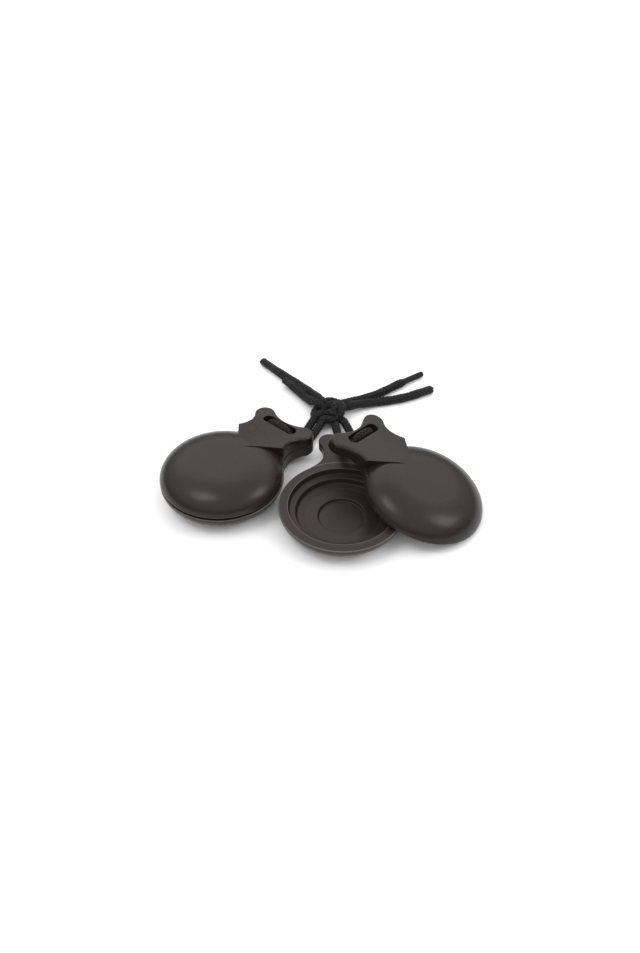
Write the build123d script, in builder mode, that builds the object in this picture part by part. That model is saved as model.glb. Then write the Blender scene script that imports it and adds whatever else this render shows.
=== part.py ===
from build123d import *
from math import acos, atan2, cos, hypot, pi, radians, sin, sqrt, tan
import os

os.makedirs("parts", exist_ok=True)

# A pair of castanets lying on a table: two hand castanets, each of two hinged shells, tied by
# one knot in their two cords. All sizes are in millimetres, +Z is up and z = 0 is the table.

# ---- one shell, in its own frame: mouth plane at z = 0, outside towards +Z, neck along +Y
body_radius = 34.0  # round bowl, seen from above
shell_height = 12.0  # mouth plane to crown
crown_radius = 14.5  # flat crown that the shell rests on
mouth_edge_round = 0.5  # softened outer edge of the mouth plane

rim_width = 5.1  # flat striking rim
upper_step_radius = 24.9  # bowl steps down here first
floor_radius = 20.0  # edge of the bowl's flat floor
well_radius = 12.9  # shallow round well in the floor
upper_step_depth = 4.2
floor_depth = 8.0
well_depth = 9.6
step_slope = 0.8  # how far each step's wall leans inwards
step_round = 0.5

ear_radius = 6.0  # rounded horn at each corner of the head
ear_spacing = 29.2  # between the two ears' centres
ear_reach = 16.9  # ears' centres beyond the bowl's edge
waist_radius = 14.2  # hollow curve between bowl and ear
saddle_rise = 1.4  # dip between the ears, beyond their centres
head_thickness = 6.9  # at the cord holes
neck_thickness = 9.4  # at the bowl's edge, proud of the dome
slope_start = 20.0  # from the bowl's centre: the head's top is level with the crown up to here
ear_thickness = 5.9  # at the ears' ends
head_edge_round = 1.6  # rounded outer edge of the head
tongue_start = 13.5  # tip of the raised tongue, from the bowl's centre
tongue_half_angle = 43.7
web_height = 3.0  # low web that ends the waist curve beside the tongue

hole_spacing = 16.6
hole_beyond_bowl = 13.4  # cord holes beyond the bowl's edge
hole_clearance = 0.8  # all round the cord, so that it runs freely
groove_depth = 4.0  # groove from hole to hole, in which the cord lies

# ---- cord
cord_diameter = 5.0
staple_bend = 4.8  # where the cord turns over the edge of a hole
cord_seat_gap = 0.7  # cord above the floor of its groove
cut_gap = 0.15  # cord's cut faces clear of the mouth planes and of the knot
leg_drop = 0.05  # cord clear of the head that it runs under
tip_round = 0.6  # soft edge of each tail's sealed end
knot_radius = 10.4
knot_height = 11.4
knot_round = 3.6
knot_floor_gap = 0.2

# ---- how the two castanets lie
mouth_gap = 0.2  # between closed mouth planes
left_open = 1.0  # degrees that the left castanet stands open
bowl_gap = 0.9  # between the two lower bowls
bowls_direction = 161.7  # from the right bowl to the left one, degrees from +X
left_heading = 50.0  # neck directions, degrees from +X
right_heading = 81.0
right_holes_at = (18.385, 26.076)  # middle of the right lower shell's two holes
knot_at = (4.2, 66.6)

lean = 16.5  # right upper shell leans from the lower rim down to the table
lean_direction = -9.6
lean_heading = 137.0  # its neck's direction in plan
lean_aside = -5.54  # its neck's offset across the lean
table_gap = 0.15
rim_rest_gap = 0.15  # its mouth plane above the lower rim

hole_reach = body_radius + hole_beyond_bowl
hole_radius = cord_diameter / 2 + hole_clearance
cord_radius = cord_diameter / 2
groove_floor = head_thickness - groove_depth
cord_line = groove_floor + cord_seat_gap + cord_radius


def heading(angle, length=1.0):
    return Vector(length * cos(radians(angle)), length * sin(radians(angle)), 0)


def seat(origin, neck, outward):
    """Plane of a shell whose mouth is at origin, with its neck along +Y and its dome along +Z."""
    return Plane(origin=origin, x_dir=neck.cross(outward), z_dir=outward)


# ---- the shell, made once
ear_x = ear_spacing / 2
ear_y = body_radius + ear_reach
head_end = ear_y + ear_radius

# the waist curve touches the bowl's circle and the ear's circle
far = hypot(ear_x, ear_y)
to_bowl = body_radius + waist_radius
to_ear = ear_radius + waist_radius
turn = acos((to_bowl**2 + far**2 - to_ear**2) / (2 * to_bowl * far))
waist_angle = atan2(ear_y, ear_x) - turn
waist_x, waist_y = to_bowl * cos(waist_angle), to_bowl * sin(waist_angle)
waist_foot = (body_radius * cos(waist_angle), body_radius * sin(waist_angle))
share = ear_radius / to_ear
waist_top = (ear_x + (waist_x - ear_x) * share, ear_y + (waist_y - ear_y) * share)

# the tongue's edge runs out to the waist curve
edge_x, edge_y = sin(radians(tongue_half_angle)), cos(radians(tongue_half_angle))
along = waist_x * edge_x + (waist_y - tongue_start) * edge_y
aside = waist_x * edge_y - (waist_y - tongue_start) * edge_x
edge_length = along - sqrt(waist_radius**2 - aside**2)
tongue_end = (edge_length * edge_x, tongue_start + edge_length * edge_y)


def halfway(start, end):
    """The point of the waist curve halfway between two others on it."""
    a0 = atan2(start[1] - waist_y, start[0] - waist_x) % (2 * pi)
    a1 = atan2(end[1] - waist_y, end[0] - waist_x) % (2 * pi)
    a = (a0 + a1) / 2
    return (waist_x + waist_radius * cos(a), waist_y + waist_radius * sin(a))


saddle_radius = (ear_x**2 + saddle_rise**2 - ear_radius**2) / (2 * (ear_radius - saddle_rise))
saddle_y = ear_y + saddle_rise + saddle_radius
saddle_share = ear_radius / (ear_radius + saddle_radius)
saddle_end = (ear_x * (1 - saddle_share), ear_y + (saddle_y - ear_y) * saddle_share)


def mirrored(point):
    return (-point[0], point[1])


inner_radius = body_radius - rim_width
crown_curve = body_radius - crown_radius

with BuildPart() as bowl:
    with BuildSketch(Plane.XZ) as bowl_side:
        with Locations((crown_radius / 2, shell_height / 2)):
            Rectangle(crown_radius, shell_height)
        with Locations((crown_radius, 0)):
            Ellipse(crown_curve, shell_height)
        with Locations((body_radius / 2, shell_height)):
            Rectangle(body_radius, 2 * shell_height, mode=Mode.INTERSECT)
        fillet(bowl_side.vertices().sort_by(Axis.X)[-1], mouth_edge_round)
    revolve(axis=Axis.Z)

with BuildPart() as head:
    with BuildSketch() as head_outline:
        with BuildLine():
            Line((0, tongue_start), tongue_end)
            ThreePointArc(tongue_end, halfway(tongue_end, waist_top), waist_top)
            ThreePointArc(waist_top, (ear_x + ear_radius * 0.7071, ear_y + ear_radius * 0.7071),
                          saddle_end)
            ThreePointArc(saddle_end, (0, ear_y + saddle_rise), mirrored(saddle_end))
            ThreePointArc(
                mirrored(saddle_end),
                (-ear_x - ear_radius * 0.7071, ear_y + ear_radius * 0.7071),
                mirrored(waist_top),
            )
            ThreePointArc(
                mirrored(waist_top), mirrored(halfway(tongue_end, waist_top)), mirrored(tongue_end)
            )
            Line(mirrored(tongue_end), (0, tongue_start))
        make_face()
    extrude(amount=shell_height)
    # its top slopes gently from the crown, past the bowl's edge and the holes, to the ears
    with BuildSketch(Plane.XZ) as head_side:
        with BuildLine():
            Line((0, 0), (0, shell_height))
            Line((0, shell_height), (slope_start, shell_height))
            ThreePointArc((slope_start, shell_height), (body_radius - 1, neck_thickness),
                          (hole_reach, head_thickness))
            Line((hole_reach, head_thickness), (head_end + ear_radius, ear_thickness))
            Line((head_end + ear_radius, ear_thickness), (head_end + ear_radius, 0))
            Line((head_end + ear_radius, 0), (0, 0))
        make_face()
    revolve(axis=Axis.Z, mode=Mode.INTERSECT)
    outer_edges = head.edges().filter_by(
        lambda e: (e @ 0.5).Y > tongue_end[1]
        and abs((e % 0.5).Z) < 0.5
        and (abs((e @ 0.5).X) > waist_x - waist_radius - 1 or (e @ 0.5).Y > ear_y)
    )
    fillet(outer_edges.filter_by(lambda e: (e @ 0.5).Z > head_thickness / 2), head_edge_round)
    fillet(outer_edges.filter_by(lambda e: (e @ 0.5).Z < head_thickness / 2), mouth_edge_round)

with BuildPart() as shell:
    add(bowl.part)
    add(head.part)
    # the waist's curve carries on down to the bowl, beside the tongue
    with BuildSketch() as web:
        with BuildLine():
            Line(waist_foot, (0, tongue_start))
            Line((0, tongue_start), tongue_end)
            ThreePointArc(tongue_end, halfway(tongue_end, waist_foot), waist_foot)
        make_face()
        mirror(about=Plane.YZ)
    extrude(amount=web_height)
    with BuildSketch(Plane.XZ) as hollow_side:
        with BuildLine():
            Polyline(
                (0, -1),
                (inner_radius, -1),
                (inner_radius, 0),
                (inner_radius - step_slope, upper_step_depth - step_slope),
                (upper_step_radius, upper_step_depth),
                (upper_step_radius - step_slope, floor_depth - step_slope),
                (floor_radius, floor_depth),
                (well_radius, floor_depth),
                (well_radius - step_slope / 2, well_depth),
                (0, well_depth),
                close=True,
            )
        make_face()
        fillet(
            hollow_side.vertices().filter_by(lambda v: v.X > 1 and v.Y > 0.1),
            step_round,
        )
    revolve(axis=Axis.Z, mode=Mode.SUBTRACT)
    with Locations((hole_spacing / 2, hole_reach), (-hole_spacing / 2, hole_reach)):
        Cylinder(hole_radius, 2 * shell_height, mode=Mode.SUBTRACT)
    with BuildSketch(Plane.XY.offset(groove_floor)) as groove:
        with Locations((0, hole_reach)):
            SlotCenterToCenter(hole_spacing, 2 * hole_radius)
    extrude(amount=shell_height, mode=Mode.SUBTRACT)

# ---- where the four shells lie
up, down = Vector(0, 0, 1), Vector(0, 0, -1)
right_neck, left_neck = heading(right_heading), heading(left_heading)
right_bowl = Vector(*right_holes_at, 0) - right_neck * hole_reach
left_bowl = right_bowl + heading(bowls_direction, 2 * body_radius + bowl_gap)

right_lower_seat = seat(right_bowl + up * shell_height, right_neck, down)
left_lower_seat = seat(left_bowl + up * shell_height, left_neck, down)

# the left upper shell is hinged at the ends of the ears and stands slightly open
open_angle = radians(left_open)
left_hinge = left_bowl + left_neck * head_end + up * (shell_height + mouth_gap / 2)
open_neck = left_neck * cos(open_angle) - up * sin(open_angle)
open_outward = left_neck * sin(open_angle) + up * cos(open_angle)
left_upper_seat = seat(
    left_hinge - open_neck * head_end + open_outward * (mouth_gap / 2), open_neck, open_outward
)

# the right upper shell leans from the lower shell's rim to the table
lean_angle = radians(lean)
downhill = heading(lean_direction)
across = up.cross(downhill)
lean_outward = downhill * sin(lean_angle) + up * cos(lean_angle)
lean_plan = heading(lean_heading)
lean_neck = (lean_plan - up * (lean_plan.dot(downhill) * tan(lean_angle))).normalized()
lean_height = body_radius * sin(lean_angle) + table_gap
rim_height = shell_height + rim_rest_gap / cos(lean_angle)
lean_distance = body_radius + (rim_height - lean_height) / tan(lean_angle)
lean_shift = hole_reach * (right_neck - lean_neck).dot(across) + lean_aside
right_upper_seat = seat(
    right_bowl + downhill * lean_distance + across * lean_shift + up * lean_height,
    lean_neck,
    lean_outward,
)

seats = {
    "left_lower_shell": left_lower_seat,
    "left_upper_shell": left_upper_seat,
    "right_lower_shell": right_lower_seat,
    "right_upper_shell": right_upper_seat,
}
for name, place in seats.items():
    with BuildPart() as placed_shell:
        with Locations(place.location):
            add(shell.part)
    placed_shell.part.label = name
    export_step(placed_shell.part, f"parts/{name}.step")


def bend_radii(points):
    """The widest bend for each corner that leaves a tenth of each run straight."""
    runs = [after - before for before, after in zip(points, points[1:])]
    room = [0.45 * run.length for run in runs]
    room[0], room[-1] = 2 * room[0], 2 * room[-1]
    return [
        min(room[i], room[i + 1]) / tan(radians(runs[i].get_angle(runs[i + 1])) / 2)
        for i in range(len(runs) - 1)
    ]


def cord_tube(name, points, radii=None, cut_by=None):
    """A length of cord along the points, less the solid that it runs up to, if any."""
    points = [Vector(*p) for p in points]
    radii = radii or bend_radii(points)
    with BuildPart() as tube:
        with BuildLine() as route:
            FilletPolyline(*points, radius=radii)
        path = route.wire()
        with BuildSketch(Plane(origin=path @ 0, z_dir=path % 0)):
            Circle(cord_radius)
        sweep(path=path)
        share = tube.part.volume / (pi * cord_radius**2 * path.length)
        bends = [round(radius, 1) for radius in radii]
        print(f"{name}: length {path.length:.1f}, volume {share:.3f} of the tube's, radii {bends}")
        if cut_by:
            add(cut_by, mode=Mode.SUBTRACT)
    tube.part.label = name
    export_step(tube.part, f"parts/{name}.step")


def hole_on(place, side, height):
    """A point on the line of one of a shell's two cord holes."""
    return place.from_local_coords(Vector(side * hole_spacing / 2, hole_reach, height))


# ---- the loop of each cord over its upper shell, from hole to hole
for name, place in (("left_loop", left_upper_seat), ("right_loop", right_upper_seat)):
    corners = [
        hole_on(place, side, height)
        for side, height in ((-1, cut_gap), (-1, cord_line), (1, cord_line), (1, cut_gap))
    ]
    cord_tube(name, corners, [staple_bend, staple_bend])

# ---- the two lengths between the right castanet's heads, which the lean holds apart
front_run, back_run = 4.8, 2.3  # straight run at both ends of the longer and the shorter one
for name, side, run in (("right_front_span", 1, front_run), ("right_back_span", -1, back_run)):
    span_top = hole_on(right_upper_seat, -side, -cut_gap)
    span_foot = hole_on(right_lower_seat, side, -cut_gap)
    cord_tube(name, [span_top, span_top - lean_outward * run, span_foot + up * run, span_foot])

# ---- the knot
with BuildPart() as knot:
    with Locations((*knot_at, knot_floor_gap)):
        Cylinder(knot_radius, knot_height, align=(Align.CENTER, Align.CENTER, Align.MIN))
    fillet(knot.edges().filter_by(GeomType.CIRCLE), knot_round)
knot.part.label = "knot"
export_step(knot.part, "parts/knot.step")

with BuildPart() as knot_room:
    with Locations(knot_at):
        Cylinder(knot_radius + cut_gap, 4 * shell_height)


# ---- the four legs, down through a lower shell's head and along the table to the knot
def leg(name, place, side, points):
    """From the mouth plane down the hole, then along the points to the knot."""
    top = hole_on(place, side, cut_gap)
    turn_height = shell_height - head_thickness - cord_radius - leg_drop
    cord_tube(name, [top, (top.X, top.Y, turn_height), *points], cut_by=knot_room.part)


leg("left_front_leg", left_lower_seat, -1,
    [(-10.6, 36.6, 2.9), (-5.2, 44.2, 3.3), (0.2, 54.2, 4.6), (2.4, 61.0, 5.2)])
leg("left_back_leg", left_lower_seat, 1,
    [(-20.4, 44.8, 2.9), (-12.2, 50.8, 3.6), (-5.6, 58.4, 5.2), (-0.8, 63.6, 6.0)])
leg("right_front_leg", right_lower_seat, 1,
    [(9.2, 36.2, 2.9), (10.4, 45.0, 3.3), (8.2, 55.0, 4.6), (6.2, 61.0, 5.2)])
leg("right_back_leg", right_lower_seat, -1,
    [(23.2, 34.4, 2.9), (18.4, 45.4, 3.5), (14.2, 56.6, 5.2), (9.6, 62.6, 6.0)])

# ---- the four tails, each with its sealed tip
tails = {
    "left_long": [(1.0, 75.6, 5.6), (-3.6, 83.8, 4.4), (-11.0, 93.8, 2.8), (-18.7, 101.9, 2.8),
                  (-24.6, 107.6, 2.8), (-29.4, 113.0, 2.7)],
    "left_short": [(-4.6, 72.0, 4.6), (-7.8, 79.5, 4.4), (-13.2, 88.4, 3.5), (-18.9, 94.6, 4.3)],
    "right_upper": [(10.4, 74.2, 4.2), (19.0, 79.9, 2.8), (27.0, 83.0, 2.8), (34.5, 86.8, 2.8),
                    (42.4, 92.4, 2.8), (48.4, 97.2, 2.8), (53.0, 100.6, 2.7)],
    "right_lower": [(11.4, 68.2, 6.8), (19.6, 73.3, 5.4), (27.4, 76.9, 3.9), (35.4, 79.6, 2.8),
                    (44.6, 81.4, 2.8), (54.0, 84.4, 2.8), (62.4, 88.8, 2.8)],
}
tip_sizes = {  # length and diameter
    "left_long": (14.2, 4.4),
    "left_short": (6.8, 4.6),
    "right_upper": (15.2, 3.2),
    "right_lower": (8.4, 5.0),
}
for name, points in tails.items():
    cord_tube(f"{name}_tail", points, cut_by=knot.part)
    end = Vector(*points[-1])
    along_end = (end - Vector(*points[-2])).normalized()
    tip_length, tip_diameter = tip_sizes[name]
    with BuildPart() as tip:
        with BuildSketch(Plane(origin=end, z_dir=along_end)):
            Circle(tip_diameter / 2)
        extrude(amount=tip_length)
        far_end = end + along_end * tip_length
        fillet(tip.edges().filter_by(GeomType.CIRCLE).sort_by_distance(far_end)[0], tip_round)
    tip.part.label = f"{name}_tip"
    export_step(tip.part, f"parts/{name}_tip.step")
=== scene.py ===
import math
import random

import bmesh
import bpy
import numpy as np
from mathutils import Matrix, Vector


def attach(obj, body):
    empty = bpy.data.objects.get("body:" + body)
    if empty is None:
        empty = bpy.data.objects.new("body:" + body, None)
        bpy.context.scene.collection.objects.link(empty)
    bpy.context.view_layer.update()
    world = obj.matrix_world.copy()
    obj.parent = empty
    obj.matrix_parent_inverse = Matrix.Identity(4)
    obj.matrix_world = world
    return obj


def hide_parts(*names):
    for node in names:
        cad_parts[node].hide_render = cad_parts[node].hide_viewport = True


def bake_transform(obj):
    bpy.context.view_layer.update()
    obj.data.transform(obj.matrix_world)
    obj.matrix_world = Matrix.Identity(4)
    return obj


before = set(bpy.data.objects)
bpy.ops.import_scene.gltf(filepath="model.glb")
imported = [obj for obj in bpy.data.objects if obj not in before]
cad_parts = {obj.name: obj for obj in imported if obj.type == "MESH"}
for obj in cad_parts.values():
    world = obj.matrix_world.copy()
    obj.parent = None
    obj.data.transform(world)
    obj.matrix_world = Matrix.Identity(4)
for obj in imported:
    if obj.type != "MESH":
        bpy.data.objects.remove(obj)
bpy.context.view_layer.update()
print("castanets: shells and cord routes loaded")

mm = 0.001  # every length below is in millimetres until it meets this

# ---------- camera
cameraView = {
    "place": (-0.7, -352.1, 340.4),
    "tilt": 47.1,  # degrees from looking straight down
    "lens": 49.3,
    "sensor": 36.0,
}
cameraData = bpy.data.cameras.new("tableCamera")
cameraData.sensor_fit = "HORIZONTAL"
cameraData.sensor_width = cameraView["sensor"]
cameraData.lens = cameraView["lens"]
cameraData.clip_start = 0.01
camera = bpy.data.objects.new("tableCamera", cameraData)
camera.location = [v * mm for v in cameraView["place"]]
camera.rotation_euler = (math.radians(cameraView["tilt"]), 0, 0)
bpy.context.scene.collection.objects.link(camera)
bpy.context.scene.camera = camera
bpy.context.scene.view_settings.view_transform = "Standard"


# ---------- where each shell lies: mouth centre, neck direction, outward direction
def headingVector(angle):
    return Vector((math.cos(math.radians(angle)), math.sin(math.radians(angle)), 0))


def shellSeat(centre, neck, outward):
    neck, outward = Vector(neck).normalized(), Vector(outward).normalized()
    side = neck.cross(outward)
    turn = Matrix((side, neck, outward)).transposed()
    return {"centre": Vector(centre), "side": side, "neck": neck, "outward": outward, "turn": turn}


leftNeck, rightNeck = headingVector(50.0), headingVector(81.0)
openTurn = math.radians(1.0)
up = Vector((0, 0, 1))
seats = {
    "left_lower_shell": shellSeat((-54.45, 0.90, 12.0), leftNeck, -up),
    "left_upper_shell": shellSeat(
        (-54.45, 0.90, 13.2),
        leftNeck * math.cos(openTurn) - up * math.sin(openTurn),
        leftNeck * math.sin(openTurn) + up * math.cos(openTurn),
    ),
    "right_lower_shell": shellSeat((10.97, -20.74, 12.0), rightNeck, -up),
    "right_upper_shell": shellSeat(
        (55.07, -11.43, 9.81), (-0.70997, 0.66206, 0.24006), (0.28004, -0.04736, 0.95882)
    ),
}
holes = {"side": 8.3, "reach": 47.4}  # cord holes, from the bowl's centre


def onShell(shell, x, y, z):
    seat = seats[shell]
    return seat["centre"] + seat["side"] * x + seat["neck"] * y + seat["outward"] * z


# ---------- materials
def newMaterial(name):
    material = bpy.data.materials.new(name)
    material.use_nodes = True
    return material, material.node_tree.nodes, material.node_tree.links


def newGroup(name, inputs, outputs):
    group = bpy.data.node_groups.new(name, "ShaderNodeTree")
    for label, kind, value in inputs:
        socket = group.interface.new_socket(label, in_out="INPUT", socket_type=kind)
        if value is not None:
            socket.default_value = value
    for label, kind in outputs:
        group.interface.new_socket(label, in_out="OUTPUT", socket_type=kind)
    return group, group.nodes.new("NodeGroupInput"), group.nodes.new("NodeGroupOutput")


def mathNode(tree, operation, first, second=None):
    node = tree.nodes.new("ShaderNodeMath")
    node.operation = operation
    for socket, value in zip(node.inputs, (first, second)):
        if value is None:
            continue
        if isinstance(value, (int, float)):
            socket.default_value = value
        else:
            tree.links.new(value, socket)
    return node.outputs[0]


def mixColour(tree, factor, first, second):
    node = tree.nodes.new("ShaderNodeMix")
    node.data_type = "RGBA"
    for socket, value in ((node.inputs[0], factor), (node.inputs[6], first), (node.inputs[7], second)):
        if isinstance(value, bpy.types.NodeSocket):
            tree.links.new(value, socket)
        else:
            socket.default_value = value
    return node.outputs[2]


def rampNode(tree, factor, stops):
    node = tree.nodes.new("ShaderNodeValToRGB")
    tree.links.new(factor, node.inputs[0])
    while len(node.color_ramp.elements) < len(stops):
        node.color_ramp.elements.new(0.5)
    for element, (place, grey) in zip(node.color_ramp.elements, stops):
        element.position = place
        element.color = (grey, grey, grey, 1)
    return node.outputs[0]


def noiseNode(tree, vector, scale, detail=3.0, roughness=0.55):
    node = tree.nodes.new("ShaderNodeTexNoise")
    tree.links.new(vector, node.inputs["Vector"])
    node.inputs["Scale"].default_value = scale
    node.inputs["Detail"].default_value = detail
    node.inputs["Roughness"].default_value = roughness
    return node.outputs[0]


# fine mottling and handling marks, shared by the shells and the stiffened cord ends
grainGroup, grainIn, grainOut = newGroup(
    "handledGrain",
    [("Vector", "NodeSocketVector", None), ("Size", "NodeSocketFloat", 1.0),
     ("Scuffs", "NodeSocketFloat", 0.5)],
    [("Mottle", "NodeSocketFloat"), ("Scuff", "NodeSocketFloat"), ("Height", "NodeSocketFloat")],
)
scaled = grainGroup.nodes.new("ShaderNodeVectorMath")
scaled.operation = "SCALE"
grainGroup.links.new(grainIn.outputs["Vector"], scaled.inputs[0])
grainGroup.links.new(grainIn.outputs["Size"], scaled.inputs["Scale"])
broad = noiseNode(grainGroup, scaled.outputs[0], 0.09, 4.0)
fine = noiseNode(grainGroup, scaled.outputs[0], 2.6, 2.0)
streak = grainGroup.nodes.new("ShaderNodeMapping")
streak.inputs["Scale"].default_value = (0.25, 2.2, 0.7)
streak.inputs["Rotation"].default_value = (0.2, 0.1, 0.7)
grainGroup.links.new(scaled.outputs[0], streak.inputs["Vector"])
marks = rampNode(grainGroup, noiseNode(grainGroup, streak.outputs[0], 0.8, 5.0), [(0.62, 0), (0.72, 1)])
grainGroup.links.new(broad, grainOut.inputs["Mottle"])
grainGroup.links.new(
    mathNode(grainGroup, "MULTIPLY", marks, grainIn.outputs["Scuffs"]), grainOut.inputs["Scuff"]
)
grainGroup.links.new(
    mathNode(grainGroup, "ADD", mathNode(grainGroup, "MULTIPLY", fine, 0.6),
             mathNode(grainGroup, "MULTIPLY", broad, 0.4)),
    grainOut.inputs["Height"],
)

shellLook = {
    "domeColour": (0.0120, 0.0082, 0.0066, 1),
    "domeWarm": (0.0200, 0.0135, 0.0106, 1),
    "hollowColour": (0.0150, 0.0102, 0.0086, 1),
    "hollowWarm": (0.0225, 0.0152, 0.0126, 1),
    # edge colour: a painted highlight, a light line along the mouth's outer and inner rim edges
    "edgeHighlightColour": (0.20, 0.165, 0.145, 1),
    "domeRoughness": 0.24,
    "hollowRoughness": 0.36,
    "mottleRoughness": 0.07,
    "scuffRoughness": 0.06,
    "scuffs": 0.6,
    "edgeHighlightAmount": 0.55,
    "specular": 0.25,
    "grainDepth": 0.05,
    "grainStrength": 0.22,
}

shellSizes = {  # millimetres, in a shell's own frame
    "crownRadius": 14.5,
    "liningTop": 10.6,  # between the hollow's deepest face and the crown
    "liningDrop": 0.0165,  # how fast that limit falls outside the crown
    "hollowRadius": 29.15,
    "mouthDepth": 0.12,
    "outerEdge": 33.7,
    "innerEdge": 28.95,
    "edgeDepth": 0.55,  # the painted edge highlight reaches this far from the mouth plane
    "ringsFrom": 13.4,
    "ringsTo": 24.0,
    "ringTurns": 3.6,  # radians of turning mark to a millimetre
}

# where on a shell a point is: hollow side, rim edges with a painted highlight, turned rings
zoneGroup, zoneIn, zoneOut = newGroup(
    "shellZones",
    [("Vector", "NodeSocketVector", None)],
    [("Hollow", "NodeSocketFloat"), ("Edge", "NodeSocketFloat"), ("Rings", "NodeSocketFloat")],
)
split = zoneGroup.nodes.new("ShaderNodeSeparateXYZ")
zoneGroup.links.new(zoneIn.outputs["Vector"], split.inputs[0])
radial = mathNode(
    zoneGroup, "SQRT",
    mathNode(zoneGroup, "ADD", mathNode(zoneGroup, "MULTIPLY", split.outputs[0], split.outputs[0]),
             mathNode(zoneGroup, "MULTIPLY", split.outputs[1], split.outputs[1])),
)
beyondCrown = mathNode(
    zoneGroup, "MAXIMUM", mathNode(zoneGroup, "SUBTRACT", radial, shellSizes["crownRadius"]), 0.0
)
underDome = mathNode(
    zoneGroup, "LESS_THAN", split.outputs[2],
    mathNode(zoneGroup, "SUBTRACT", shellSizes["liningTop"],
             mathNode(zoneGroup, "MULTIPLY",
                      mathNode(zoneGroup, "MULTIPLY", beyondCrown, beyondCrown),
                      shellSizes["liningDrop"])),
)
insideRim = mathNode(zoneGroup, "LESS_THAN", radial, shellSizes["hollowRadius"])
mouthFace = mathNode(zoneGroup, "LESS_THAN", split.outputs[2], shellSizes["mouthDepth"])
lining = mathNode(zoneGroup, "MULTIPLY", underDome, insideRim)
hollow = mathNode(zoneGroup, "MAXIMUM", lining, mouthFace)
zoneGroup.links.new(hollow, zoneOut.inputs["Hollow"])
outerEdge = rampNode(
    zoneGroup,
    mathNode(zoneGroup, "ABSOLUTE",
             mathNode(zoneGroup, "SUBTRACT", radial, shellSizes["outerEdge"])),
    [(0.05, 1), (0.42, 0)],
)
innerEdge = rampNode(
    zoneGroup,
    mathNode(zoneGroup, "ABSOLUTE",
             mathNode(zoneGroup, "SUBTRACT", radial, shellSizes["innerEdge"])),
    [(0.03, 1), (0.22, 0)],
)
nearMouth = mathNode(zoneGroup, "LESS_THAN", split.outputs[2], shellSizes["edgeDepth"])
eitherEdge = mathNode(zoneGroup, "MAXIMUM", outerEdge, innerEdge)
zoneGroup.links.new(
    mathNode(zoneGroup, "MULTIPLY", eitherEdge, nearMouth), zoneOut.inputs["Edge"]
)
ringWave = mathNode(
    zoneGroup, "SINE", mathNode(zoneGroup, "MULTIPLY", radial, shellSizes["ringTurns"])
)
ringBand = mathNode(
    zoneGroup, "MULTIPLY",
    mathNode(zoneGroup, "GREATER_THAN", radial, shellSizes["ringsFrom"]),
    mathNode(zoneGroup, "LESS_THAN", radial, shellSizes["ringsTo"]),
)
zoneGroup.links.new(
    mathNode(zoneGroup, "MULTIPLY", mathNode(zoneGroup, "MULTIPLY", ringWave, ringBand), hollow),
    zoneOut.inputs["Rings"],
)


def shellMaterial(shell):
    material, nodes, links = newMaterial(shell + "_finish")
    tree = material.node_tree
    shader = nodes["Principled BSDF"]
    coordinates = nodes.new("ShaderNodeTexCoord")
    place = nodes.new("ShaderNodeMapping")
    place.vector_type = "TEXTURE"
    place.inputs["Location"].default_value = seats[shell]["centre"] * mm
    place.inputs["Rotation"].default_value = seats[shell]["turn"].to_euler()
    place.inputs["Scale"].default_value = (mm, mm, mm)
    links.new(coordinates.outputs["Object"], place.inputs["Vector"])
    zones = nodes.new("ShaderNodeGroup")
    zones.node_tree = zoneGroup
    links.new(place.outputs[0], zones.inputs[0])
    grain = nodes.new("ShaderNodeGroup")
    grain.node_tree = grainGroup
    grain.inputs["Scuffs"].default_value = shellLook["scuffs"]
    links.new(place.outputs[0], grain.inputs["Vector"])
    dome = mixColour(tree, grain.outputs["Mottle"], shellLook["domeColour"], shellLook["domeWarm"])
    inside = mixColour(
        tree, grain.outputs["Mottle"], shellLook["hollowColour"], shellLook["hollowWarm"]
    )
    colour = mixColour(tree, zones.outputs["Hollow"], dome, inside)
    # painted highlight: a light colour mixed in along the rim edges near the mouth plane
    edge = mathNode(tree, "MULTIPLY", zones.outputs["Edge"], shellLook["edgeHighlightAmount"])
    colour = mixColour(tree, edge, colour, shellLook["edgeHighlightColour"])
    links.new(colour, shader.inputs["Base Color"])
    sheen = mathNode(tree, "MULTIPLY", zones.outputs["Hollow"],
                     shellLook["hollowRoughness"] - shellLook["domeRoughness"])
    rough = mathNode(tree, "ADD", sheen, shellLook["domeRoughness"])
    for mark, share in (("Mottle", "mottleRoughness"), ("Scuff", "scuffRoughness")):
        dulling = mathNode(tree, "MULTIPLY", grain.outputs[mark], shellLook[share])
        rough = mathNode(tree, "ADD", rough, dulling)
    links.new(rough, shader.inputs["Roughness"])
    height = mathNode(tree, "ADD", mathNode(tree, "MULTIPLY", grain.outputs["Height"], 0.5),
                      mathNode(tree, "MULTIPLY", zones.outputs["Rings"], 0.9))
    bump = nodes.new("ShaderNodeBump")
    bump.inputs["Strength"].default_value = shellLook["grainStrength"]
    bump.inputs["Distance"].default_value = shellLook["grainDepth"] * mm
    links.new(height, bump.inputs["Height"])
    links.new(bump.outputs[0], shader.inputs["Normal"])
    shader.inputs["Specular IOR Level"].default_value = shellLook["specular"]
    return material


for shellName in seats:
    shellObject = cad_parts[shellName]
    finish = shellMaterial(shellName)
    if shellObject.material_slots:
        for slot in shellObject.material_slots:
            slot.material = finish
    else:
        shellObject.data.materials.append(finish)
print("castanets: shells finished")

cordLook = {
    "fibreColour": (0.0016, 0.0014, 0.0014, 1),
    "fibreLight": (0.0070, 0.0064, 0.0062, 1),
    # glue colour: real glue on the sealed tips, with a lighter grey that is partly a painted highlight
    "glueAndGlintColour": (0.020, 0.019, 0.018, 1),
    "roughness": 0.50,
    "tipRoughness": 0.30,
    "fibresAcross": 9.0,  # filaments seen across one yarn
    "fibreDepth": 0.10,
    "fibreStrength": 0.7,
    "specular": 0.22,
    "sheen": 0.03,
    "sheenRoughness": 0.4,
    "glueAndGlintCover": 0.7,
}

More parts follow.
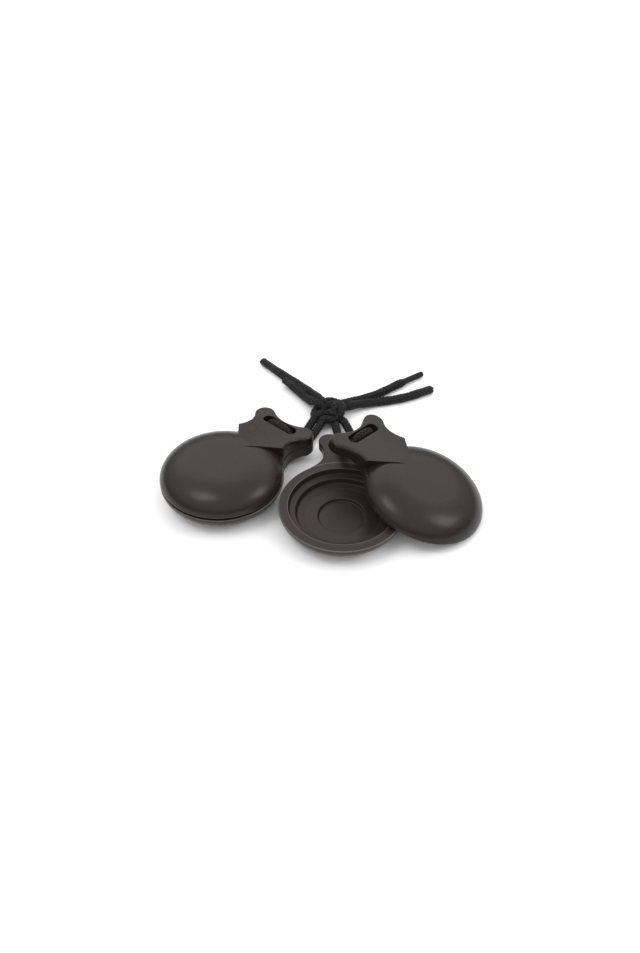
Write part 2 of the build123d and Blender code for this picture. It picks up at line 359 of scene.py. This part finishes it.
# twisted filaments along a yarn, from its own UV map: U along in millimetres, V round it
fibreGroup, fibreIn, fibreOut = newGroup(
    "yarnFibres",
    [("Vector", "NodeSocketVector", None), ("Filaments", "NodeSocketFloat", 9.0)],
    [("Strand", "NodeSocketFloat"), ("Height", "NodeSocketFloat")],
)
uvSplit = fibreGroup.nodes.new("ShaderNodeSeparateXYZ")
fibreGroup.links.new(fibreIn.outputs["Vector"], uvSplit.inputs[0])
drift = noiseNode(fibreGroup, fibreIn.outputs["Vector"], 1.7, 2.0)
lay = mathNode(
    fibreGroup, "ADD",
    mathNode(fibreGroup, "MULTIPLY", uvSplit.outputs[1], fibreIn.outputs["Filaments"]),
    mathNode(fibreGroup, "ADD", mathNode(fibreGroup, "MULTIPLY", uvSplit.outputs[0], 0.8),
             mathNode(fibreGroup, "MULTIPLY", drift, 0.9)),
)
filament = mathNode(fibreGroup, "SINE", mathNode(fibreGroup, "MULTIPLY", lay, 2 * math.pi))
strand = mathNode(fibreGroup, "ADD", mathNode(fibreGroup, "MULTIPLY", filament, 0.5), 0.5)
fibreGroup.links.new(strand, fibreOut.inputs["Height"])
fibreGroup.links.new(
    mathNode(fibreGroup, "MULTIPLY", strand, rampNode(fibreGroup, drift, [(0.3, 0.2), (0.75, 1)])),
    fibreOut.inputs["Strand"],
)


def cordMaterial(name, stiffened):
    material, nodes, links = newMaterial(name)
    tree = material.node_tree
    shader = nodes["Principled BSDF"]
    uv = nodes.new("ShaderNodeUVMap")
    uv.uv_map = "yarn"
    fibres = nodes.new("ShaderNodeGroup")
    fibres.node_tree = fibreGroup
    fibres.inputs["Filaments"].default_value = cordLook["fibresAcross"]
    links.new(uv.outputs[0], fibres.inputs["Vector"])
    colour = mixColour(tree, fibres.outputs["Strand"], cordLook["fibreColour"], cordLook["fibreLight"])
    height = fibres.outputs["Height"]
    if stiffened:
        coordinates = nodes.new("ShaderNodeTexCoord")
        grain = nodes.new("ShaderNodeGroup")
        grain.node_tree = grainGroup
        grain.inputs["Size"].default_value = 1 / mm
        grain.inputs["Scuffs"].default_value = 1.0
        links.new(coordinates.outputs["Object"], grain.inputs["Vector"])
        glue = rampNode(tree, grain.outputs["Height"], [(0.42, 0), (0.60, 1)])
        # glue patches: real glue, with a lighter grey that is partly a painted highlight on the sealed
        # tip
        cover = mathNode(tree, "MULTIPLY", glue, cordLook["glueAndGlintCover"])
        colour = mixColour(tree, cover, colour, cordLook["glueAndGlintColour"])
        rough = mathNode(tree, "ADD", mathNode(tree, "MULTIPLY", glue, -0.12),
                         cordLook["tipRoughness"] + 0.14)
        links.new(rough, shader.inputs["Roughness"])
        height = mathNode(tree, "ADD", mathNode(tree, "MULTIPLY", height, 0.4), glue)
    else:
        rough = mathNode(tree, "ADD", mathNode(tree, "MULTIPLY", fibres.outputs["Strand"], -0.1),
                         cordLook["roughness"])
        links.new(rough, shader.inputs["Roughness"])
        shader.inputs["Sheen Weight"].default_value = cordLook["sheen"]
        shader.inputs["Sheen Roughness"].default_value = cordLook["sheenRoughness"]
    links.new(colour, shader.inputs["Base Color"])
    shader.inputs["Specular IOR Level"].default_value = cordLook["specular"]
    bump = nodes.new("ShaderNodeBump")
    bump.inputs["Strength"].default_value = cordLook["fibreStrength"]
    bump.inputs["Distance"].default_value = cordLook["fibreDepth"] * mm
    links.new(height, bump.inputs["Height"])
    links.new(bump.outputs[0], shader.inputs["Normal"])
    return material


braidFinish = cordMaterial("blackBraid", False)
tipFinish = cordMaterial("gluedBraid", True)
print("castanets: cord finishes made")

# ---------- cords
braid = {
    "yarns": 12,
    "pitch": 14.0,  # one turn of a yarn round the cord
    "yarnWidth": 1.66,
    "yarnThickness": 0.86,
    "lift": 0.30,  # how far a yarn rises over the ones it crosses
    "step": 0.46,
    "corners": 8,
    "coreCorners": 16,
    "lyingFlatter": 0.07,  # how much a cord that lies on the table is flattened
    "lyingWider": 0.05,
    "yarnSpread": 0.05,  # how much one yarn's width differs from the next
}
cordWidth = 5.0


def splineLine(points):
    curve = bpy.data.curves.new("routeLine", "CURVE")
    curve.dimensions = "3D"
    curve.resolution_u = 16
    spline = curve.splines.new("NURBS")
    spline.points.add(len(points) - 1)
    for target, point in zip(spline.points, points):
        target.co = (point[0] * mm, point[1] * mm, point[2] * mm, 1)
    spline.order_u = 3
    spline.use_endpoint_u = True
    holder = bpy.data.objects.new("routeLine", curve)
    bpy.context.scene.collection.objects.link(holder)
    bpy.context.view_layer.update()
    mesh = bpy.data.meshes.new_from_object(holder.evaluated_get(bpy.context.evaluated_depsgraph_get()))
    line = np.array([vertex.co[:] for vertex in mesh.vertices]) / mm
    bpy.data.objects.remove(holder)
    bpy.data.curves.remove(curve)
    bpy.data.meshes.remove(mesh)
    return line


def lengthsAlong(line):
    return np.concatenate([[0], np.cumsum(np.linalg.norm(np.diff(line, axis=0), axis=1))])


def evenLine(line, start, end, step):
    along = lengthsAlong(line)
    count = max(4, int(round((end - start) / step)) + 1)
    at = np.linspace(start, end, count)
    return at, np.stack([np.interp(at, along, line[:, axis]) for axis in range(3)], axis=1)


def steadyNormals(points):
    tangents = np.gradient(points, axis=0)
    tangents /= np.linalg.norm(tangents, axis=1)[:, None]
    slanting = (0.31, 0.22, 0.93)  # along no cord's first run
    normal = np.cross(tangents[0], slanting)
    normal /= np.linalg.norm(normal)
    normals = [normal]
    for tangent in tangents[1:]:
        normal = normal - tangent * normal.dot(tangent)
        normal = normal / np.linalg.norm(normal)
        normals.append(normal)
    return np.array(normals)


def ringFaces(rings, corners, base):
    faces = []
    for ring in range(rings - 1):
        for corner in range(corners):
            after = (corner + 1) % corners
            faces.append((base + ring * corners + corner, base + ring * corners + after,
                          base + (ring + 1) * corners + after, base + (ring + 1) * corners + corner))
    faces.append(tuple(base + corner for corner in reversed(range(corners))))
    faces.append(tuple(base + (rings - 1) * corners + corner for corner in range(corners)))
    return faces


def braidPiece(name, line, start, end, widthAt, material, tight=1.0, ragged=0.0, seed=1):
    draw = random.Random(seed)
    at, centres = evenLine(line, start, end, braid["step"])
    lineLength = lengthsAlong(line)[-1]
    normals = steadyNormals(evenLine(line, 0, lineLength, braid["step"])[1])
    whole = np.linspace(0, lineLength, len(normals))
    normals = np.stack([np.interp(at, whole, normals[:, axis]) for axis in range(3)], axis=1)
    tangents = np.gradient(centres, axis=0)
    tangents /= np.linalg.norm(tangents, axis=1)[:, None]
    normals -= tangents * (normals * tangents).sum(axis=1)[:, None]
    normals /= np.linalg.norm(normals, axis=1)[:, None]
    sides = np.cross(tangents, normals)
    radii = np.array([widthAt(s) for s in at]) / 2
    lying = np.clip((0.75 - np.abs(tangents[:, 2])) / 0.5, 0, 1)
    corners, half = braid["corners"], braid["yarns"] // 2
    gap = 2 * math.pi / half
    vertices, faces, uvs = [], [], []
    angles = np.linspace(0, 2 * math.pi, corners, endpoint=False)
    scale = radii / (cordWidth / 2)
    middle = radii - (braid["yarnThickness"] / 2 + braid["lift"] * tight) * np.minimum(scale, 1.0)

    def flattened(offsets):
        spread = offsets.copy()
        spread[..., 2] *= (1 - braid["lyingFlatter"] * lying).reshape([-1] + [1] * (offsets.ndim - 2))
        spread[..., :2] *= (1 + braid["lyingWider"] * lying).reshape([-1] + [1] * (offsets.ndim - 1))
        return spread

    for direction in (1, -1):
        for index in range(half):
            turnBy = direction * 2 * math.pi * at / braid["pitch"]
            theta = index * gap + turnBy + (0 if direction > 0 else gap / 2)
            sense = gap / 2 if direction < 0 else -gap / 2
            crossing = index + (index * gap + 2 * turnBy + sense) / gap
            wave = np.cos(math.pi / 2 * crossing - math.pi / 4) * 1.25
            rise = direction * np.clip(wave, -1, 1) * braid["lift"] * tight
            outward = normals * np.cos(theta)[:, None] + sides * np.sin(theta)[:, None]
            path = centres + flattened(outward * (middle + rise * np.minimum(scale, 1.0))[:, None])
            forward = np.gradient(path, axis=0)
            forward /= np.linalg.norm(forward, axis=1)[:, None]
            across = np.cross(forward, outward)
            across /= np.linalg.norm(across, axis=1)[:, None]
            wide = braid["yarnWidth"] / 2 * scale * (1 + braid["yarnSpread"] * draw.uniform(-1, 1))
            thick = braid["yarnThickness"] / 2 * np.minimum(scale, 1.05)
            if ragged:
                keep = max(4, len(path) - int(draw.uniform(0, ragged) / braid["step"]))
            else:
                keep = len(path)
            rings = (path[:keep, None, :]
                     + across[:keep, None, :] * (wide[:keep, None] * np.cos(angles))[:, :, None]
                     + outward[:keep, None, :] * (thick[:keep, None] * np.sin(angles))[:, :, None])
            base = len(vertices)
            vertices.extend(map(tuple, (rings.reshape(-1, 3) * mm)))
            faces.extend(ringFaces(keep, corners, base))
            shift = draw.uniform(0, 40)
            for ring in range(keep):
                uvs.extend((at[ring] + shift, corner / corners) for corner in range(corners))
    coreCorners = braid["coreCorners"]
    coreAngles = np.linspace(0, 2 * math.pi, coreCorners, endpoint=False)
    coreRadius = np.maximum(middle - 0.1, 0.3)
    offsets = (normals[:, None, :] * np.cos(coreAngles)[None, :, None]
               + sides[:, None, :] * np.sin(coreAngles)[None, :, None]) * coreRadius[:, None, None]
    core = centres[:, None, :] + flattened(offsets)
    base = len(vertices)
    vertices.extend(map(tuple, (core.reshape(-1, 3) * mm)))
    faces.extend(ringFaces(len(core), coreCorners, base))
    for ring in range(len(core)):
        uvs.extend((at[ring], corner / coreCorners) for corner in range(coreCorners))
    mesh = bpy.data.meshes.new(name)
    mesh.from_pydata(vertices, [], faces)
    layer = mesh.uv_layers.new(name="yarn")
    for loop in mesh.loops:
        layer.data[loop.index].uv = uvs[loop.vertex_index]
    work = bmesh.new()
    work.from_mesh(mesh)
    bmesh.ops.recalc_face_normals(work, faces=work.faces)
    work.to_mesh(mesh)
    work.free()
    mesh.polygons.foreach_set("use_smooth", [True] * len(mesh.polygons))
    mesh.materials.append(material)
    piece = bpy.data.objects.new(name, mesh)
    bpy.context.scene.collection.objects.link(piece)
    return piece


# the long cords: hole in a lower shell, leg, knot, tail; all points in millimetres
knotCentre = Vector((4.2, 66.6, 0))


def aroundKnot(*places):
    return [tuple(knotCentre + Vector(place)) for place in places]


longCords = {
    "leftFrontCord": {
        "route": [(-17.62, 31.87, 11.35), (-17.62, 31.87, 2.55), (-10.6, 36.6, 2.9),
                  (-5.6, 44.8, 3.3), (-0.6, 54.6, 4.6)]
        + aroundKnot((-3.0, -8.2, 7.0), (1.5, -7.0, 3.6), (6.3, -7.0, 5.8), (8.4, -2.5, 8.6),
                     (8.4, 2.5, 8.6), (6.0, 7.2, 5.8), (1.5, 7.0, 3.6), (-3.5, 8.8, 7.0))
        + [(-3.6, 83.8, 4.4), (-11.0, 93.8, 2.8), (-18.7, 101.9, 2.8), (-24.6, 107.6, 2.8),
           (-29.4, 113.0, 2.7), (-38.8, 123.7, 2.6)],
        "tip": 14.2, "tipWidth": 5.0, "lower": "left_lower",
        "nodes": ["left_front_leg", "left_long_tail", "knot"], "tipNode": "left_long_tip",
        "blend": ((-9.0, 42.0, 4.0), (0.5, 57.0, 4.0)),
    },
    "leftBackCord": {
        "route": [(-30.34, 42.54, 11.35), (-30.34, 42.54, 2.55), (-19.6, 44.2, 2.7),
                  (-9.8, 48.4, 3.3), (-5.2, 57.8, 5.0)]
        + aroundKnot((-5.6, -4.4, 8.2), (-1.0, -3.0, 3.8), (3.2, -3.0, 7.0), (4.4, 0.1, 9.0),
                     (3.2, 3.4, 7.0), (-1.0, 3.2, 3.8), (-6.2, 5.6, 7.8))
        + [(-7.8, 79.5, 4.4), (-13.2, 88.4, 3.5), (-18.9, 94.6, 4.3), (-23.5, 99.6, 4.9)],
        "tip": 6.8, "tipWidth": 4.8, "lower": "left_lower",
        "nodes": ["left_back_leg", "left_short_tail"], "tipNode": "left_short_tip",
        "blend": ((-17.0, 48.0, 4.0), (-4.5, 60.5, 4.0)),
    },
    "rightFrontCord": {
        "route": [(10.19, 27.37, 11.85), (10.19, 27.37, 2.55), (9.2, 36.2, 2.9), (10.4, 45.0, 3.3),
                  (8.2, 55.0, 4.6)]
        + aroundKnot((4.8, -8.6, 3.4), (0.6, -9.4, 7.4), (-5.5, -6.6, 4.0), (-8.4, -1.8, 2.9),
                     (-8.4, 2.6, 2.9), (-5.3, 7.0, 4.0), (0.5, 9.4, 7.4), (7.0, 9.4, 4.0))
        + [(19.0, 79.9, 2.8), (27.0, 83.0, 2.8), (34.5, 86.8, 2.8), (42.4, 92.4, 2.8),
           (48.4, 97.2, 2.8), (53.0, 100.6, 2.7), (65.2, 109.6, 2.2)],
        "tip": 15.2, "tipWidth": 3.9, "lower": "right_lower",
        "nodes": ["right_front_leg", "right_upper_tail"], "tipNode": "right_upper_tip",
        "blend": ((11.0, 42.0, 4.0), (6.6, 57.0, 4.0)),
    },
    "rightBackCord": {
        "route": [(26.58, 24.78, 11.85), (26.58, 24.78, 2.55), (23.2, 34.4, 2.9), (18.4, 45.4, 3.5),
                  (14.2, 56.6, 5.2)]
        + aroundKnot((8.0, -5.0, 3.4), (1.8, -4.4, 8.6), (-2.6, -2.2, 4.8), (-4.2, 0.6, 2.9),
                     (-2.4, 3.2, 4.8), (2.2, 4.4, 8.6), (8.2, 3.8, 4.4))
        + [(19.6, 73.3, 5.4), (27.4, 76.9, 3.9), (35.4, 79.6, 2.8), (44.6, 81.4, 2.8),
           (54.0, 84.4, 2.8), (62.4, 88.8, 2.8), (70.0, 92.7, 2.8)],
        "tip": 8.4, "tipWidth": 5.3, "lower": "right_lower",
        "nodes": ["right_back_leg", "right_lower_tail"], "tipNode": "right_lower_tip",
        "blend": ((19.5, 44.0, 4.0), (11.8, 59.0, 4.0)),
    },
}

tail = {
    "beyondKnot": 14,  # loose from this far out of the knot's centre
    "from": 60,  # and past this length of cord, so that the legs stay as they are
    "swell": 1.10,
    "narrowingBefore": 1.6,  # the cord narrows over this length before its sealed tip
    "narrowingLength": 2.2,
}


def tailWidth(cord, line, tipStart, seed):
    along = lengthsAlong(line)

    def widthAt(s):
        spot = np.array([np.interp(s, along, line[:, axis]) for axis in range(2)])
        away = float(np.linalg.norm(spot - np.array(knotCentre[:2])))
        width = cordWidth
        if away > tail["beyondKnot"] and s > tail["from"]:
            waves = 0.03 * math.sin(s * 0.55 + seed * 2.1) + 0.02 * math.sin(s * 1.7 + seed)
            width *= tail["swell"] + waves
        narrowing = (s - tipStart + tail["narrowingBefore"]) / tail["narrowingLength"]
        return width + (cord["tipWidth"] - width) * min(1.0, max(0.0, narrowing))

    return widthAt


for seed, (cordName, cord) in enumerate(longCords.items()):
    line = splineLine(cord["route"])
    total = lengthsAlong(line)[-1]
    tipStart = total - cord["tip"]
    cordWidthAt = tailWidth(cord, line, tipStart, seed)
    piece = braidPiece(cordName, line, 0, tipStart, cordWidthAt, braidFinish, seed=10 + seed)
    tip = braidPiece(cordName + "Tip", line, tipStart - 0.2, total, cordWidthAt, tipFinish,
                     tight=0.55, ragged=1.6, seed=30 + seed)
    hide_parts(*cord["nodes"])
    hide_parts(cord["tipNode"])
    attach(tip, "knot")
    start, end = cord["blend"]
    tuple(v * mm for v in start)
    tuple(v * mm for v in end)
    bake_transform(piece)
    tuple(v * mm for v in cord["route"][0])
    print("castanets:", cordName, "is", round(float(total)), "mm long")

# the loop over each upper shell's head, and the two lengths that the lean leaves open
loopHeight = 6.1


def loopRoute(shell, foot):
    side, reach = holes["side"], holes["reach"]
    return [tuple(onShell(shell, x, reach, z)) for x, z in
            ((-side, foot), (-side, loopHeight), (side, loopHeight), (side, foot))]


def loopBlend(shell):
    return tuple(onShell(shell, 0, holes["reach"], z) for z in (0.0, 3.6))


shortCords = {
    "leftLoopCord": {
        "route": loopRoute("left_upper_shell", 0.55), "nodes": ["left_loop"],
        "bodies": ("left_loop", "left_upper"), "blend": loopBlend("left_upper_shell"),
    },
    "rightLoopCord": {
        "route": loopRoute("right_upper_shell", -0.1), "nodes": ["right_loop"],
        "bodies": ("right_loop", "right_upper"), "blend": loopBlend("right_upper_shell"),
    },
}
upperSeat = seats["right_upper_shell"]
for spanName, side, run, node in (("rightFrontSpan", 1, 4.8, "right_front_span"),
                                  ("rightBackSpan", -1, 2.3, "right_back_span")):
    spanTop = onShell("right_upper_shell", -side * holes["side"], holes["reach"], 0.1)
    spanFoot = onShell("right_lower_shell", side * holes["side"], holes["reach"], 0.3)
    shortCords[spanName] = {
        "route": [tuple(spanTop), tuple(spanTop - upperSeat["outward"] * run),
                  tuple(spanFoot + up * run), tuple(spanFoot)],
        "nodes": [node], "bodies": ("right_lower", "right_loop"),
        "blend": (Vector((20, 20, 12.0)), Vector((20, 20, 19.0))),
    }
for seed, (cordName, cord) in enumerate(shortCords.items()):
    line = splineLine(cord["route"])
    piece = braidPiece(cordName, line, 0, lengthsAlong(line)[-1], lambda s: cordWidth, braidFinish,
                       seed=50 + seed)
    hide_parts(*cord["nodes"])
    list(cord["bodies"])
    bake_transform(piece)
print("castanets: loops over the heads made")

# ---------- table and light
table = {"half": 3.0, "colour": (0.88, 0.88, 0.88, 1), "roughness": 0.75, "specular": 0.2}  # metres
floorMesh = bpy.data.meshes.new("tableTop")
half = table["half"]
floorMesh.from_pydata([(-half, -half, 0), (half, -half, 0), (half, half, 0), (-half, half, 0)], [],
                      [(0, 1, 2, 3)])
tableTop = bpy.data.objects.new("tableTop", floorMesh)
bpy.context.scene.collection.objects.link(tableTop)
floorMaterial, floorNodes, _ = newMaterial("paleTable")
floorShader = floorNodes["Principled BSDF"]
floorShader.inputs["Base Color"].default_value = table["colour"]
floorShader.inputs["Roughness"].default_value = table["roughness"]
floorShader.inputs["Specular IOR Level"].default_value = table["specular"]
floorMesh.materials.append(floorMaterial)

lights = {  # place and aim in metres, size of the soft box, power in watts
    "leftSoftBox": {
        "place": (-0.42, -0.16, 1.0), "aim": (-0.03, 0, 0), "size": (0.42, 0.42), "power": 2.4,
    },
    "rightSoftBox": {
        "place": (0.95, -0.10, 0.86), "aim": (0.02, 0, 0), "size": (0.5, 0.5), "power": 3.2,
    },
    "backSoftBox": {
        "place": (0, 1.25, 1.15), "aim": (0, 0.05, 0), "size": (2.4, 1.1), "power": 4.4,
    },
}
sky = {"strength": 1.35, "low": (0.12, 0.16), "high": (0.60, 1.0)}  # height of the sky, grey there
for lightName, setting in lights.items():
    data = bpy.data.lights.new(lightName, "AREA")
    data.shape = "RECTANGLE"
    data.size, data.size_y = setting["size"]
    data.energy = setting["power"]
    lamp = bpy.data.objects.new(lightName, data)
    lamp.location = setting["place"]
    aim = Vector(setting["aim"]) - Vector(setting["place"])
    lamp.rotation_euler = aim.to_track_quat("-Z", "Y").to_euler()
    bpy.context.scene.collection.objects.link(lamp)
world = bpy.data.worlds.new("paleRoom")
world.use_nodes = True
worldTree = world.node_tree
skyDirection = worldTree.nodes.new("ShaderNodeTexCoord")
skySplit = worldTree.nodes.new("ShaderNodeSeparateXYZ")
worldTree.links.new(skyDirection.outputs["Generated"], skySplit.inputs[0])
skyTone = rampNode(worldTree, skySplit.outputs[2], [sky["low"], sky["high"]])
worldTree.links.new(skyTone, worldTree.nodes["Background"].inputs[0])
worldTree.nodes["Background"].inputs[1].default_value = sky["strength"]
bpy.context.scene.world = world
print("castanets: table and lights set")
